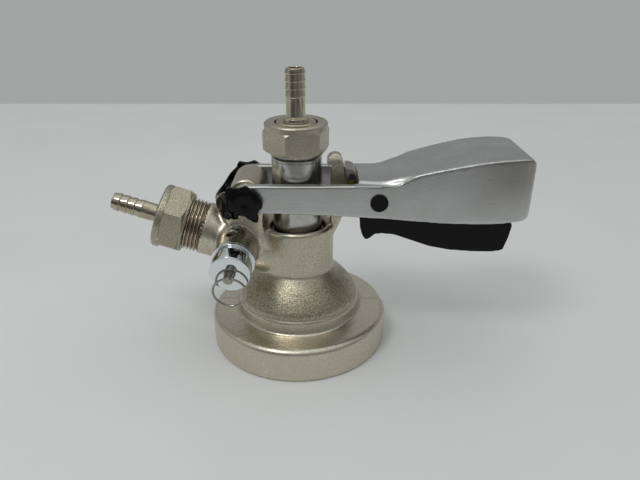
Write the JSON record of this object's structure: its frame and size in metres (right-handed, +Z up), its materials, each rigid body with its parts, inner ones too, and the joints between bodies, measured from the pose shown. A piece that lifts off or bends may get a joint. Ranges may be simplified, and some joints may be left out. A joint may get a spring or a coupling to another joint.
{
  "type": "keg coupler",
  "caption": "Slide-on keg coupler with a bell body, a lift handle that drives the probe, a squeeze trigger, barbed beer and gas tails and a pull-ring relief valve.",
  "frame": {"origin": "middle of the base's underside, on the probe's axis", "axes": "+Z up along the probe, +X towards the handle, -X towards the gas inlet, -Y towards the pull ring, +Y out of the keg slot's mouth"},
  "size_m": [0.2071, 0.0907, 0.1403],
  "materials": {
    "cast_nickel": "nickel plated over a sand-blasted brass casting",
    "turned_nickel": "nickel plated, machined",
    "polished_steel": "polished stainless steel",
    "chrome": "mirror chrome",
    "alu": "tumbled die casting",
    "black_nylon": "moulded nylon",
    "black_gloss": "moulded, glossy",
    "white_plastic": "moulded",
    "black_rubber": "moulded rubber",
    "steel": "drawn steel",
    "dark_zinc": "dark plated casting",
    "brass": "bare turned brass"
  },
  "bodies": {
    "body": {"coupler_body": "cast_nickel", "keg_seal": "black_rubber", "neck_o_ring": "black_rubber", "gas_check_valve": "black_rubber", "gas_washer": "black_rubber", "gas_hose_tail": "turned_nickel", "gas_nut": "turned_nickel", "relief_cap": "chrome", "relief_collar": "chrome", "relief_spring": "steel", "hinge_pin": "steel", "hinge_clip": "black_gloss"},
    "probe": {"probe_tube": "polished_steel", "probe_tip_seal": "black_rubber", "ball_cage": "white_plastic", "beer_washer": "black_rubber", "beer_hose_tail": "turned_nickel", "beer_nut": "turned_nickel"},
    "ball": {"check_ball": "white_plastic"},
    "relief_plunger": {"relief_stem": "steel", "relief_seal": "black_rubber"},
    "ring": {"pull_ring": "steel"},
    "lever": {"lever_handle": "alu", "drive_pins": "steel", "latch_block": "dark_zinc", "latch_buffer": "black_rubber", "latch_pin": "brass", "trigger_pin": "black_nylon", "trigger_spring": "steel"},
    "trigger": {"trigger": "black_nylon"}
  },
  "joints": [
    {"name": "lever_lift", "type": "hinge", "parent": "body", "child": "lever", "pos_m": [-0.024, 0, 0.083], "axis": [0, -1, 0], "range_deg": [0, 22]},
    {"name": "probe_lift", "type": "slide", "parent": "body", "child": "probe", "axis": [0, 0, 1], "range_m": [0, 0.0091]},
    {"name": "trigger_squeeze", "type": "hinge", "parent": "lever", "child": "trigger", "pos_m": [0.0389, 0, 0.0817], "axis": [0, -1, 0], "range_deg": [0, 7], "stiffness_Nm_per_rad": 0.6, "springref_deg": -5.73, "deforming": ["trigger_spring"]},
    {"name": "relief_pull", "type": "slide", "parent": "body", "child": "relief_plunger", "axis": [-0.0431, -0.9881, -0.1478], "range_m": [0, 0.0025], "stiffness_N_per_m": 1500, "springref_m": -0.003, "deforming": ["relief_spring"]},
    {"name": "ring_swing", "type": "hinge", "parent": "relief_plunger", "child": "ring", "pos_m": [-0.03024, -0.03966, 0.05363], "axis": [-0.999, 0.0436, 0], "range_deg": [-10, 75]},
    {"name": "ball_lift", "type": "slide", "parent": "probe", "child": "ball", "axis": [0, 0, 1], "range_m": [0, 0.003]}
  ],
  "couplings": [
    {"joint": "probe_lift", "follows": "lever_lift", "m_per_rad": 0.0236}
  ]
}
